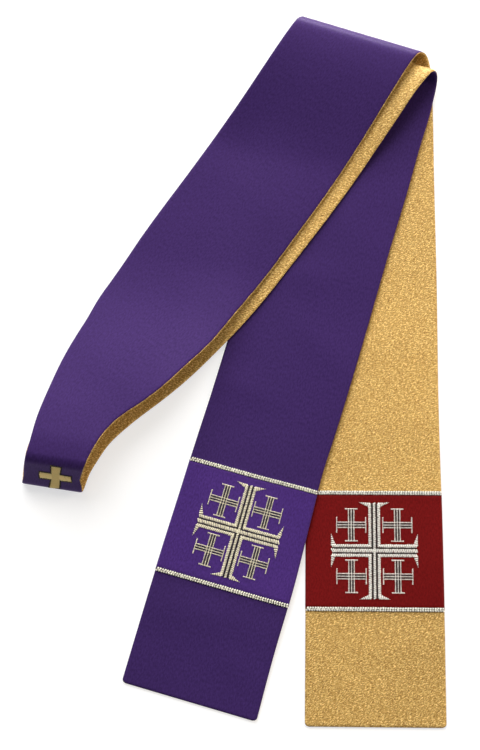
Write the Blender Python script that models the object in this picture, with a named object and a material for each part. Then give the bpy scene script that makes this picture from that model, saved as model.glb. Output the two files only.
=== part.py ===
"""Reversible clerical stole, folded for display.

One long band of two faces, purple satin and gold lame, sewn back to back.  It is folded at the
centre back of the neck, so that the two halves lie on each other, and both halves are then
folded over together at the far end.  The over half wraps outside the under half.

Metres, +Z up, underside on z = 0.  The neck is toward -X and -Y, the ends hang toward -Y.

The cloth is one surface of two numbers: "along", the distance from the centre back (positive
down the over half, negative down the under half), and "across", from 0.5 at the left edge to
-0.5 at the right edge.  The surface is the flat cut piece, rolled over the neck loop and then
rolled over the fold.  Every wall, band, trim and cross is a slab offset from that surface.
"""
import math

import bmesh
import bpy
import numpy as np

# --- the cloth -------------------------------------------------------------------------------
FACE_WALL = 0.0010          # one face with its share of the interlining
FACE_GAP = 0.0003           # between the two faces
SEAM = 0.0003               # between neighbouring stretches and under everything sewn on
CLOTH = 2.0 * FACE_WALL + FACE_GAP
REST = CLOTH / 2.0          # height of the middle surface where the cloth lies on the floor
LAYER = CLOTH + SEAM        # step from one layer to the next

# --- the cut of one half, from the centre back to the end ------------------------------------
OVER_LENGTH = 1.308
UNDER_LENGTH = 1.304
CUT_COLUMNS = ("along", "width", "turn")
CUT = (
    (0.00, 0.0555, 26.4),
    (0.04, 0.064, 17.0),
    (0.08, 0.0745, 8.5),
    (0.12, 0.091, 0.0),
    (0.16, 0.106, -4.0),
    (0.20, 0.119, 0.0),
    (0.25, 0.126, -1.0),
    (0.31, 0.1305, 0.0),
    (0.40, 0.128, 1.0),
    (0.55, 0.1315, 0.0),
    (1.32, 0.134, 0.0),
)

# --- how far the two edges stray from the cut, toward the right --------------------------------
EDGE_COLUMNS = ("along", "left", "right")   # pulled in over the folds, and out again by handling
OVER_EDGES = (
    (0.00, -0.0015, -0.0010),
    (0.03, 0.0025, 0.0000),
    (0.06, 0.0025, 0.0000),
    (0.09, 0.0030, 0.0015),
    (0.13, 0.0025, 0.0050),
    (0.155, 0.0020, 0.0045),
    (0.18, 0.0010, 0.0025),
    (0.215, 0.0025, 0.0030),
    (0.27, 0.0015, 0.0010),
    (0.33, 0.0015, 0.0015),
    (0.41, 0.0000, 0.0035),
    (0.45, 0.0010, 0.0025),
    (0.50, 0.0020, 0.0000),
    (0.54, 0.0020, -0.0030),
    (0.60, 0.0020, -0.0045),
    (0.62, 0.0015, -0.0010),
    (0.64, 0.0000, 0.0020),
    (0.67, 0.0000, 0.0020),
    (0.75, 0.0000, 0.0010),
    (0.85, 0.0000, 0.0005),
    (1.00, 0.0000, -0.0010),
    (1.10, -0.0005, 0.0000),
    (1.20, -0.0010, 0.0005),
    (1.32, -0.0015, 0.0005),
)
UNDER_EDGES = (
    (0.00, -0.0015, -0.0010),
    (0.02, 0.0005, 0.0020),
    (0.04, 0.0025, 0.0050),
    (0.06, 0.0025, 0.0040),
    (0.09, 0.0010, 0.0010),
    (0.12, 0.0000, -0.0005),
    (0.17, 0.0000, -0.0010),
    (0.25, 0.0000, 0.0015),
    (0.33, 0.0000, 0.0015),
    (0.41, 0.0000, 0.0020),
    (0.45, 0.0000, 0.0005),
    (0.50, 0.0000, -0.0025),
    (0.54, 0.0000, -0.0035),
    (0.575, 0.0000, -0.0030),
    (0.595, 0.0000, -0.0005),
    (0.615, 0.0005, 0.0040),
    (0.64, 0.0010, 0.0055),
    (0.70, 0.0015, 0.0045),
    (0.75, 0.0020, 0.0040),
    (0.80, 0.0025, 0.0025),
    (0.90, 0.0030, 0.0010),
    (0.96, 0.0025, 0.0000),
    (1.00, 0.0020, -0.0010),
    (1.06, 0.0005, -0.0030),
    (1.10, 0.0000, -0.0020),
    (1.17, -0.0010, 0.0000),
    (1.24, -0.0010, -0.0005),
    (1.32, -0.0005, 0.0010),
)

# --- where the neck lies and how it stands ---------------------------------------------------
NECK_X = -0.183
NECK_Y = -0.109
GRAIN = 35.4                # lean of the straight front of the upper runs, from +Y toward +X
NECK_AXIS = 9.0             # the neck's bend lines drop this much toward +X
FACE_LEAN = math.radians(62.5)
FACE_ABOVE = 0.0145         # standing face above the centre back line
FACE_BELOW = 0.015          # and below it
BEND_TOP = 0.009
BEND_BOTTOM = 0.008
BACK_SLOPE = math.radians(8.0)
SLOPE_FROM = 0.07
SLOPE_TO = 0.26
UNDER_SWING = 2.75          # the under half is swung toward the right
UNDER_SLIP = 0.0117         # and set over to the left, so a sliver of it shows
SWING_IN = 0.08
SLIP_IN = 0.05

# --- the two folds at the far end ------------------------------------------------------------
FOLD_COLUMNS = ("x", "y", "lean", "radius", "rise", "give")
OVER_FOLD = (0.130, 0.3467, 18.0, 0.0150, 0.15, 0.0)
UNDER_FOLD = (0.150, 0.3344, 24.0, 0.0095, 0.15, 6.4)
GIVE_FROM = 0.455           # stretch of the under half that gives sideways inside the fold
GIVE_TO = 0.605
CURL = 0.006                # the under half's right edge lifts this much as it comes to the fold
CURL_FROM = 0.34            # and starts to lift this far across
CURL_IN = 0.14

# --- how the layers rest on each other -------------------------------------------------------
OVER_TRIM = 0.0042          # lift of a layer lying on the over half's lower run and its trims
RAMP = 0.060                # width over which a layer eases down to the floor past an edge
AIR = 0.0008                # loft under each upper run
SETTLE = 0.10

# --- bands, trims and crosses ----------------------------------------------------------------
OVER_TRIMS = (0.1130, 0.2284)   # trim centre lines, measured up from each end
UNDER_TRIMS = (0.1148, 0.2302)
TRIM_WIDTH = 0.0043
TRIM_WALL = 0.0013
BAND_WALL = 0.0010
CROSS_WALL = 0.0010
SMALL_X = 0.0226            # centres of the four small crosses from the large one
SMALL_Y = 0.0255
ARM_COLUMNS = ("reach", "half_width")
LARGE_UPRIGHT = ((0.0066, 0.0060), (0.024, 0.0060), (0.042, 0.0062), (0.0465, 0.0140), (0.0480, 0.0145))
LARGE_CROSSBAR = ((0.0060, 0.0066), (0.020, 0.0066), (0.036, 0.0068), (0.0405, 0.0150), (0.0430, 0.0158))
SMALL_UPRIGHT = ((0.0034, 0.0034), (0.0143, 0.0034), (0.0145, 0.0068), (0.0161, 0.0068))
SMALL_CROSSBAR = ((0.0034, 0.0034), (0.0133, 0.0034), (0.0135, 0.0074), (0.0150, 0.0074))
NECK_UPRIGHT = ((0.0042, 0.0042), (0.0120, 0.0046), (0.0160, 0.0054))
NECK_CROSSBAR = ((0.0042, 0.0042), (0.0110, 0.0041), (0.0155, 0.0039))
NECK_CROSS_X = 0.0031
NECK_CROSS_TURN = math.radians(0.5)

# --- materials: base colour, roughness, metallic ---------------------------------------------
MATERIALS = {
    "purple_satin": ((0.062, 0.026, 0.165, 1.0), 0.48, 0.0),
    "gold_lame": ((0.560, 0.350, 0.105, 1.0), 0.42, 0.6),
    "violet_band": ((0.085, 0.030, 0.245, 1.0), 0.48, 0.0),
    "red_band": ((0.240, 0.008, 0.012, 1.0), 0.48, 0.0),
    "gold_braid": ((0.620, 0.540, 0.340, 1.0), 0.40, 0.6),
    "silver_braid": ((0.700, 0.690, 0.640, 1.0), 0.38, 0.6),
    "gold_thread": ((0.560, 0.480, 0.260, 1.0), 0.40, 0.5),
    "silver_thread": ((0.680, 0.670, 0.620, 1.0), 0.38, 0.5),
}


def ease(t):
    """Smooth step from 0 to 1."""
    t = np.clip(t, 0.0, 1.0)
    return t * t * (3.0 - 2.0 * t)


def table_curve(x, table, column):
    """A smooth curve through one column of a table, against its first column."""
    rows = np.array(table)
    xs = rows[:, 0]
    ys = rows[:, column]
    slopes = np.gradient(ys, xs)
    k = np.clip(np.searchsorted(xs, x) - 1, 0, len(xs) - 2)
    step = xs[k + 1] - xs[k]
    t = (x - xs[k]) / step
    start = (1.0 + 2.0 * t) * (1.0 - t) ** 2 * ys[k] + t * (1.0 - t) ** 2 * step * slopes[k]
    end = t * t * (3.0 - 2.0 * t) * ys[k + 1] + t * t * (t - 1.0) * step * slopes[k + 1]
    return start + end


def running_sum(values, step):
    """Integral from the first sample, with a zero in front."""
    return np.concatenate([[0.0], np.cumsum(values * step)])


def turned(points, angle):
    c = np.cos(angle)
    s = np.sin(angle)
    x = points[..., 0]
    y = points[..., 1]
    return np.stack([x * c - y * s, x * s + y * c], -1)


# --- the neck loop as a bent line: distance along it, forward run and height -------------------
ARC_TOP = (FACE_LEAN + BACK_SLOPE) * BEND_TOP
ARC_BOTTOM = (math.pi - FACE_LEAN) * BEND_BOTTOM
LOOP_STEP = 0.0005
loop_mid = (np.arange(3000) + 0.5) * LOOP_STEP
loop_up = FACE_LEAN - (FACE_LEAN + BACK_SLOPE) * np.clip((loop_mid - FACE_ABOVE) / ARC_TOP, 0.0, 1.0)
loop_down = FACE_LEAN + (math.pi - FACE_LEAN) * np.clip((loop_mid - FACE_BELOW) / ARC_BOTTOM, 0.0, 1.0)
past_top = loop_mid > FACE_ABOVE + ARC_TOP
loop_level = ease((loop_mid - SLOPE_FROM) / (SLOPE_TO - SLOPE_FROM))
loop_up = np.where(past_top, -BACK_SLOPE * (1.0 - loop_level), loop_up)
loop_ends = np.arange(3001) * LOOP_STEP
LOOP_AT = np.concatenate([-loop_ends[::-1], loop_ends[1:]])
LOOP_RUN = np.concatenate([-running_sum(np.cos(loop_down), LOOP_STEP)[::-1],
                           running_sum(np.cos(loop_up), LOOP_STEP)[1:]])
LOOP_RISE = np.concatenate([-running_sum(np.sin(loop_down), LOOP_STEP)[::-1],
                            running_sum(np.sin(loop_up), LOOP_STEP)[1:]])
LOOP_RISE = LOOP_RISE - LOOP_RISE[0]
LOOP_RISE = LOOP_RISE - LOOP_RISE[-1] * ease((LOOP_AT - SLOPE_FROM) / (SLOPE_TO - SLOPE_FROM))

LOOP_DIRECTION = np.array([math.sin(math.radians(NECK_AXIS)), math.cos(math.radians(NECK_AXIS))])
NECK = np.array([NECK_X, NECK_Y])


class Half:
    """One half of the stole: its flat cut, and where each point of it comes to lie."""

    def __init__(self, length, fold, edges, over):
        self.length = length
        self.over = over
        self.fold = dict(zip(FOLD_COLUMNS, fold))
        self.stations = np.linspace(0.0, length, 1201)
        step = self.stations[1]
        self.widths = table_curve(self.stations, CUT, 1)
        turn = table_curve(self.stations, CUT, 2)
        turn = turn + self.fold["give"] * ease((self.stations - GIVE_FROM) / (GIVE_TO - GIVE_FROM))
        heading = np.radians(turn + 90.0 - GRAIN)
        middle = (heading[1:] + heading[:-1]) / 2.0
        self.spine_x = NECK_X + running_sum(np.cos(middle), step)
        self.spine_y = NECK_Y + running_sum(np.sin(middle), step)
        self.heading = heading
        self.left_stray = table_curve(self.stations, edges, 1)
        self.right_stray = table_curve(self.stations, edges, 2)
        lean = math.radians(self.fold["lean"])
        self.fold_point = np.array([self.fold["x"], self.fold["y"]])
        self.fold_along = np.array([math.cos(lean), -math.sin(lean)])
        self.fold_past = np.array([math.sin(lean), math.cos(lean)])

    def width(self, along):
        return np.interp(along, self.stations, self.widths)

    def flat(self, along, across):
        """The cut piece laid out flat, in place."""
        heading = np.interp(along, self.stations, self.heading)
        left = np.interp(along, self.stations, self.left_stray) * (0.5 + across) ** 3
        right = np.interp(along, self.stations, self.right_stray) * (0.5 - across) ** 3
        reach = across * self.width(along) - left - right
        x = np.interp(along, self.stations, self.spine_x) - np.sin(heading) * reach
        y = np.interp(along, self.stations, self.spine_y) + np.cos(heading) * reach
        points = np.stack([x, y], -1)
        if self.over:
            return points
        swing = -math.radians(UNDER_SWING) * ease(along / SWING_IN)
        slip = UNDER_SLIP * ease(along / SLIP_IN)
        sideways = turned(np.array([-1.0, 0.0]), -math.radians(GRAIN))
        return NECK + turned(points - NECK, swing) + slip[..., None] * sideways

    def neck_distance(self, along, across):
        """Distance from the centre back line, square to the neck's bend lines."""
        return (self.flat(along, across) - NECK) @ LOOP_DIRECTION

    def rolled_neck(self, along, across):
        """Points in plan after the neck loop is rolled, with the loop's own height."""
        points = self.flat(along, across)
        reach = (points - NECK) @ LOOP_DIRECTION
        signed = reach if self.over else -reach
        run = np.interp(signed, LOOP_AT, LOOP_RUN)
        rise = np.interp(signed, LOOP_AT, LOOP_RISE)
        return points + LOOP_DIRECTION * (run - reach)[..., None], rise, reach

    def fold_distance(self, along, across):
        """Distance past the start of the fold."""
        points = self.rolled_neck(along, across)[0]
        return (points - self.fold_point) @ self.fold_past

    def plan(self, along, across):
        """Where a point lies seen from above, and how far past the fold's start it is."""
        points, rise, reach = self.rolled_neck(along, across)
        past = (points - self.fold_point) @ self.fold_past
        beside = (points - self.fold_point) @ self.fold_along
        radius = self.fold["radius"]
        angle = np.clip(past / radius, 0.0, math.pi)
        ahead = np.where(past < math.pi * radius, radius * np.sin(angle), math.pi * radius - past)
        ahead = np.where(past < 0.0, past, ahead)
        spot = self.fold_point + self.fold_along * beside[..., None] + self.fold_past * ahead[..., None]
        return spot, rise, reach, past, angle

    def place(self, along, across):
        """The point of the cloth's middle surface."""
        spot, rise, reach, past, angle = self.plan(along, across)
        radius = self.fold["radius"]
        low = REST if self.over else REST + OVER_TRIM
        high = low + 2.0 * radius
        under_layers = OVER_TRIM * beyond(spot, OVER_EDGE) + LAYER * beyond(spot, UNDER_EDGE)
        own_loft = AIR + (LAYER + AIR if self.over else 0.0)
        upper = REST + rise + (under_layers + own_loft) * ease(reach / SLIP_IN)
        upper = upper + (high - upper) * ease(1.0 + past / self.fold["rise"])
        lower = REST if self.over else REST + OVER_TRIM * beyond(spot, OVER_EDGE)
        settle = ease((past - math.pi * radius) / SETTLE)
        lower = low + (lower - low) * settle
        bend = high - radius * (1.0 - np.cos(angle))
        height = np.where(past < 0.0, upper, np.where(past < math.pi * radius, bend, lower))
        if not self.over:
            curl = CURL * ease((-across - CURL_FROM) / (0.5 - CURL_FROM))
            height = height + curl * ease(1.0 + past / CURL_IN) * (1.0 + np.cos(angle)) / 2.0
        return np.concatenate([spot, height[..., None]], -1)


def beyond(spot, edge):
    """1 on the lower run to the right of its left edge, easing to 0 on the floor beside it."""
    start, end = edge
    side = end - start
    side = side / np.linalg.norm(side)
    inside = (spot[..., 0] - start[0]) * side[1] - (spot[..., 1] - start[1]) * side[0]
    return ease(1.0 + inside / RAMP)


def left_edge(half):
    """Two points on the left edge of a lower run, the end one first."""
    along = np.array([half.length, 0.7 * half.length])
    return half.plan(along, np.array([0.5, 0.5]))[0]


over_half = Half(OVER_LENGTH, OVER_FOLD, OVER_EDGES, True)
under_half = Half(UNDER_LENGTH, UNDER_FOLD, UNDER_EDGES, False)
OVER_EDGE = left_edge(over_half)
UNDER_EDGE = left_edge(under_half)


def cloth(along, across):
    """The whole stole's middle surface, along being signed."""
    along = np.asarray(along, float)
    across = np.asarray(across, float)
    over = over_half.place(np.abs(along), across)
    under = under_half.place(np.abs(along), across)
    return np.where(along[..., None] >= 0.0, over, under)


def outward(along, across):
    """Unit normal of the middle surface on its purple side."""
    a = 0.0004
    b = 0.004
    down = cloth(along + a, across) - cloth(along - a, across)
    over = cloth(along, across + b) - cloth(along, across - b)
    normal = np.cross(down, over)
    return normal / np.linalg.norm(normal, axis=-1, keepdims=True)


def line_at(half, measure, value, across):
    """Signed distance along, for each across, at which a measure of the half has a value."""
    low = np.zeros_like(across)
    high = np.full_like(across, half.length)
    for _ in range(40):
        middle = (low + high) / 2.0
        short = measure(middle, across) < value
        low = np.where(short, middle, low)
        high = np.where(short, high, middle)
    middle = (low + high) / 2.0
    return middle if half.over else -middle


def rows_between(start, end, count):
    """Lines of the grid from one line to the next, leaving out the last."""
    return [start + (end - start) * i / count for i in range(count)]


# --- where each stretch begins and ends --------------------------------------------------------
LOOP_UNDER = 0.045          # the neck loop ends this far past the centre back on the under half
LOOP_OVER = 0.042
LOOP_ROWS = 5               # cells around each bend of the neck loop
NECK_CELLS = 6              # cells across the neck loop
CELLS = {                   # cells along and across each stretch
    ("over", "upper"): (24, 8),
    ("over", "fold"): (10, 4),
    ("over", "lower"): (6, 4),
    ("under", "upper"): (24, 8),
    ("under", "fold"): (10, 4),
    ("under", "lower"): (20, 12),
}


def neck_grid(columns):
    """Rows of the neck loop, from the under half over the centre back to the over half."""
    across = np.linspace(0.5, -0.5, columns + 1)
    over_marks = [0.0, FACE_ABOVE, FACE_ABOVE + ARC_TOP, LOOP_OVER - SEAM / 2.0]
    under_marks = [LOOP_UNDER - SEAM / 2.0, FACE_BELOW + ARC_BOTTOM, FACE_BELOW]
    lines = [line_at(under_half, under_half.neck_distance, mark, across) for mark in under_marks]
    lines = lines + [np.zeros_like(across)]
    over_lines = [line_at(over_half, over_half.neck_distance, mark, across) for mark in over_marks[1:]]
    lines = lines + over_lines
    counts = (3, LOOP_ROWS, 2, 2, LOOP_ROWS, 3)
    rows = []
    for start, end, count in zip(lines[:-1], lines[1:], counts):
        rows = rows + rows_between(start, end, count)
    rows.append(lines[-1])
    return np.array(rows), np.tile(across, (len(rows), 1))


def run_grid(half, stretch, count, columns):
    """Rows of one stretch of a half: "upper", "fold" or "lower"."""
    across = np.linspace(0.5, -0.5, columns + 1)
    loop_end = LOOP_OVER if half.over else LOOP_UNDER
    past = math.pi * half.fold["radius"]
    inset = SEAM / 2.0
    if stretch == "upper":
        start = line_at(half, half.neck_distance, loop_end + inset, across)
        end = line_at(half, half.fold_distance, -inset, across)
    elif stretch == "fold":
        start = line_at(half, half.fold_distance, inset, across)
        end = line_at(half, half.fold_distance, past - inset, across)
    else:
        start = line_at(half, half.fold_distance, past + inset, across)
        end = np.full_like(across, half.length if half.over else -half.length)
    rows = rows_between(start, end, count) + [end]
    return np.array(rows), np.tile(across, (len(rows), 1))


def grid_faces(rows, columns):
    faces = []
    for i in range(rows):
        for j in range(columns):
            a = i * (columns + 1) + j
            faces.append((a, a + 1, a + columns + 2))
            faces.append((a, a + columns + 2, a + columns + 1))
    return faces


def slab(name, material, along, across, faces, low, high):
    """A closed solid between two offsets of the cloth's middle surface."""
    along = np.ravel(along)
    across = np.ravel(across)
    middle = cloth(along, across)
    normal = outward(along, across)
    count = len(along)
    points = np.concatenate([middle + normal * high, middle + normal * low])
    points = points + PLACE
    edges = {}
    for face in faces:
        for a, b in zip(face, face[1:] + face[:1]):
            edges[(a, b)] = True
    walls = [(b, a, a + count, b + count) for a, b in edges if (b, a) not in edges]
    back = [tuple(i + count for i in reversed(face)) for face in faces]
    mesh = bpy.data.meshes.new(name)
    mesh.from_pydata(points.tolist(), [], faces + back + walls)
    work = bmesh.new()
    work.from_mesh(mesh)
    bmesh.ops.recalc_face_normals(work, faces=work.faces)
    work.to_mesh(mesh)
    work.free()
    mesh.shade_smooth()
    mesh.set_sharp_from_angle(angle=math.radians(40.0))
    mesh.materials.append(MADE[material])
    solid = bpy.data.objects.new(name, mesh)
    bpy.context.scene.collection.objects.link(solid)
    return solid


def two_faces(name, along, across):
    """The purple wall and the gold wall of one stretch."""
    rows, columns = along.shape
    faces = grid_faces(rows - 1, columns - 1)
    inner = FACE_GAP / 2.0
    outer = inner + FACE_WALL
    slab(name + "_purple", "purple_satin", along, across, faces, inner, outer)
    slab(name + "_gold", "gold_lame", along, across, faces, -outer, -inner)


def strip_on(name, material, half, from_end, to_end, side, gap, wall, rows, columns):
    """A strip right across a lower run, between two distances up from its end."""
    far = half.length - from_end
    near = half.length - to_end
    along = np.linspace(near, far, rows + 1)
    across = np.linspace(0.5, -0.5, columns + 1)
    along, across = np.meshgrid(along, across, indexing="ij")
    sign = 1.0 if half.over else -1.0
    lift = CLOTH / 2.0 + gap
    low, high = sorted((side * lift, side * (lift + wall)))
    slab(name, material, sign * along, across, grid_faces(rows, columns), low, high)


def finer(arms, longest):
    """The rows of an arm with rows added, so that no cell is longer than a given length."""
    rows = [arms[0]]
    for (near, near_half), (far, far_half) in zip(arms[:-1], arms[1:]):
        count = math.ceil((far - near) / longest)
        for i in range(1, count + 1):
            t = i / count
            rows.append((near + (far - near) * t, near_half + (far_half - near_half) * t))
    return rows


def cross_plan(upright, crossbar, split, longest):
    """Plan of an equal-armed cross: points and faces, two cells wide if split."""
    upright = finer(upright, longest)
    crossbar = finer(crossbar, longest)
    points = []
    faces = []
    index = {}

    def corner(x, y):
        key = (round(x, 6), round(y, 6))
        if key not in index:
            index[key] = len(points)
            points.append(key)
        return index[key]

    middle_x = upright[0][1]
    middle_y = upright[0][0]
    steps = (-1.0, 0.0, 1.0) if split else (-1.0, 1.0)
    for i in range(len(steps) - 1):
        for j in range(len(steps) - 1):
            box = ((steps[i], steps[j]), (steps[i + 1], steps[j]),
                   (steps[i + 1], steps[j + 1]), (steps[i], steps[j + 1]))
            faces.append(tuple(corner(middle_x * x, middle_y * y) for x, y in box))
    for arms, turn in ((upright, 0), (crossbar, 1), (upright, 2), (crossbar, 3)):
        for (near, near_half), (far, far_half) in zip(arms[:-1], arms[1:]):
            for i in range(len(steps) - 1):
                box = ((steps[i] * near_half, near), (steps[i + 1] * near_half, near),
                       (steps[i + 1] * far_half, far), (steps[i] * far_half, far))
                faces.append(tuple(corner(*quarter_turn(x, y, turn)) for x, y in box))
    return points, faces


def quarter_turn(x, y, times):
    for _ in range(times):
        x, y = y, -x
    return x, y


def cross_on_run(name, material, half, trims, x, y, upright, crossbar, side, gap, split):
    """A cross on a lower run, its centre x to the right and y above the band's centre."""
    points, faces = cross_plan(upright, crossbar, split, 0.012)
    plan = np.array(points)
    centre = half.length - (trims[0] + trims[1]) / 2.0
    along = centre - y - plan[:, 1]
    across = -(x + plan[:, 0]) / half.width(along)
    sign = 1.0 if half.over else -1.0
    lift = CLOTH / 2.0 + gap
    low, high = sorted((side * lift, side * (lift + CROSS_WALL)))
    slab(name, material, sign * along, across, faces, low, high)


def cross_on_neck(name, material):
    """The small cross on the centre back line, on the purple side."""
    points, faces = cross_plan(NECK_UPRIGHT, NECK_CROSSBAR, True, 0.0022)
    plan = turned(np.array(points), NECK_CROSS_TURN)
    along = plan[:, 1]
    across = -(plan[:, 0] + NECK_CROSS_X) / over_half.width(np.abs(along))
    lift = CLOTH / 2.0 + SEAM
    slab(name, material, along, across, faces, lift, lift + CROSS_WALL)


def make_material(name, colour, roughness, metallic):
    material = bpy.data.materials.new(name)
    material.use_nodes = True
    shader = material.node_tree.nodes["Principled BSDF"]
    shader.inputs["Base Color"].default_value = colour
    shader.inputs["Roughness"].default_value = roughness
    shader.inputs["Metallic"].default_value = metallic
    return material


for old in list(bpy.data.objects):
    bpy.data.objects.remove(old, do_unlink=True)

MADE = {name: make_material(name, *look) for name, look in MATERIALS.items()}

# --- the place of the whole stole: centred over the origin -------------------------------------
stretches = {"neck": neck_grid(NECK_CELLS)}
for half_name, half in (("over", over_half), ("under", under_half)):
    for stretch in ("upper", "fold", "lower"):
        stretches[half_name + "_" + stretch] = run_grid(half, stretch, *CELLS[half_name, stretch])
spread = np.concatenate([cloth(a, b).reshape(-1, 3) for a, b in stretches.values()])
low_corner = spread.min(axis=0)
high_corner = spread.max(axis=0)
PLACE = np.array([-(low_corner[0] + high_corner[0]) / 2.0, -(low_corner[1] + high_corner[1]) / 2.0, 0.0])

for stretch_name, (grid_along, grid_across) in stretches.items():
    two_faces(stretch_name, grid_along, grid_across)

# --- bands, trims and crosses: on the gold side of the over half, the purple side of the under --
ON_CLOTH = SEAM
ON_BAND = SEAM + BAND_WALL + SEAM
BAND_EDGE = TRIM_WIDTH / 2.0 + SEAM
DRESSED = (
    ("over", over_half, OVER_TRIMS, -1.0, "red_band", "silver_braid", "silver_thread"),
    ("under", under_half, UNDER_TRIMS, 1.0, "violet_band", "gold_braid", "gold_thread"),
)
for word, half, trims, side, band, braid, thread in DRESSED:
    strip_on(word + "_band", band, half, trims[0] + BAND_EDGE, trims[1] - BAND_EDGE,
             side, ON_CLOTH, BAND_WALL, 3, 12)
    for level, height in (("low", trims[0]), ("high", trims[1])):
        strip_on(word + "_trim_" + level, braid, half, height - TRIM_WIDTH / 2.0,
                 height + TRIM_WIDTH / 2.0, side, ON_CLOTH, TRIM_WALL, 1, 12)
    cross_on_run(word + "_cross", thread, half, trims, 0.0, 0.0, LARGE_UPRIGHT, LARGE_CROSSBAR,
                 side, ON_BAND, True)
    for place, x, y in (("upper_left", -1, 1), ("upper_right", 1, 1),
                        ("lower_left", -1, -1), ("lower_right", 1, -1)):
        cross_on_run(word + "_cross_" + place, thread, half, trims, x * SMALL_X, y * SMALL_Y,
                     SMALL_UPRIGHT, SMALL_CROSSBAR, side, ON_BAND, False)
cross_on_neck("neck_cross", "gold_thread")
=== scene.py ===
# %% [markdown]
# # A reversible stole, folded for display
# A stole is one long narrow band that hangs from the neck.  This one has two faces sewn back to
# back, purple satin and gold lame.  Near each end is a band of another colour, edged with metal
# braid, with an embroidered Jerusalem cross; a small cross marks the centre back of the neck.
# It is folded in half at the neck, and both halves are folded over together at the far end.
# The plain solids come from the frame.  Here each one gets its cloth, its seams and its thread.

import math

import bmesh
import bpy
import numpy as np
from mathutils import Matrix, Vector


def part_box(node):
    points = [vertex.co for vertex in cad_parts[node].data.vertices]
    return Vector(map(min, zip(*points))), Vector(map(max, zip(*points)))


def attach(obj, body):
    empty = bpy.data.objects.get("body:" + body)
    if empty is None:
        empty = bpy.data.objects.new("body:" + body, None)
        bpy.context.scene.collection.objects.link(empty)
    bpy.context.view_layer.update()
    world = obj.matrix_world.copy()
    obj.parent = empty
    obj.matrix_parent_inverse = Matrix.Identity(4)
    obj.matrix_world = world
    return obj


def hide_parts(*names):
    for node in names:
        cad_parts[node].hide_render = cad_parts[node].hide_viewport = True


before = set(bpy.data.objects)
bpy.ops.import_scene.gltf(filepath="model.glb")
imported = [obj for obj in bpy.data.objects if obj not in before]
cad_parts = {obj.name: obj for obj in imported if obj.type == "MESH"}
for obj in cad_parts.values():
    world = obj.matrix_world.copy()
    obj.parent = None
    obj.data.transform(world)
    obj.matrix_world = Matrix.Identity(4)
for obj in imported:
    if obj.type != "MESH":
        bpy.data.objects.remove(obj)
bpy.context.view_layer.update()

# %% [markdown]
# ## The cut and the folds
# Cloth does not stretch.  It could be modelled as a ribbon bent by eye, but then its length is
# only as true as the eye.  So its shape is given here as a flat cut piece and the bends it is put
# through: the width and the turn of the centre line at a few distances from the centre back, the
# loop at the neck, and two folds.  These are the same sizes that the solids were made from.

# %% Sizes of the cut, in metres and degrees
CLOTH = 0.0023              # both faces and what lies between them
REST = CLOTH / 2.0          # height of the middle of the cloth where it lies on the table
LAYER = 0.0026              # step from one layer of the stole to the next
OVER_LENGTH = 1.308         # each half, from the centre back to its end
UNDER_LENGTH = 1.304
CUT = (
    # along, width, turn
    (0.00, 0.0555, 26.4),
    (0.04, 0.064, 17.0),
    (0.08, 0.0745, 8.5),
    (0.12, 0.091, 0.0),
    (0.16, 0.106, -4.0),
    (0.20, 0.119, 0.0),
    (0.25, 0.126, -1.0),
    (0.31, 0.1305, 0.0),
    (0.40, 0.128, 1.0),
    (0.55, 0.1315, 0.0),
    (1.32, 0.134, 0.0),
)
print("the whole cut is", round(OVER_LENGTH + UNDER_LENGTH, 3), "m long")

# %% Sizes of the neck loop
NECK = np.array([-0.183, -0.109])           # the centre back, seen from above
GRAIN = 35.4                                # lean of the upper runs, from +Y toward +X
NECK_AXIS = math.radians(9.0)               # the loop's bend lines drop this much toward +X
FACE_LEAN = math.radians(62.5)              # how steeply the front of the neck stands
FACE_ABOVE, FACE_BELOW = 0.0145, 0.015      # flat front above the centre back, and below it
BEND_TOP, BEND_BOTTOM = 0.009, 0.008        # radii of the bends above and below the front
BACK_SLOPE = math.radians(8.0)              # the over half falls so steeply behind the neck
SLOPE_FROM, SLOPE_TO = 0.07, 0.26           # and comes level between these distances
UNDER_SWING, SWING_IN = 2.75, 0.08          # the under half swings right by so many degrees
UNDER_SLIP, SLIP_IN = 0.0117, 0.05          # and slips left, so that a sliver of it shows
print("the front of the neck leans", round(math.degrees(FACE_LEAN), 1), "degrees")

# %% Sizes of the two folds, and of layer on layer
FOLD_COLUMNS = ("x", "y", "lean", "radius", "rise", "give")
OVER_FOLD = (0.130, 0.3467, 18.0, 0.0150, 0.15, 0.0)
UNDER_FOLD = (0.150, 0.3344, 24.0, 0.0095, 0.15, 6.4)
GIVE_FROM, GIVE_TO = 0.455, 0.605           # the under half gives sideways inside the fold
CURL, CURL_FROM, CURL_IN = 0.006, 0.34, 0.14    # and its right edge lifts as it comes there
OVER_TRIM = 0.0042                          # a layer's lift on the lower run and its trims
RAMP = 0.060                                # a layer eases down past an edge in this width
AIR = 0.0008                                # loft under each upper run
SETTLE = 0.10                               # past the fold, the cloth lies down in this length
print("the folds have radii of", OVER_FOLD[3], "and", UNDER_FOLD[3], "m")

# %% [markdown]
# The two edges do not run quite even with the centre line.  They are drawn in over the folds and
# pushed out again by handling, so each has its own small table: how far it strays to the right.

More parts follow.
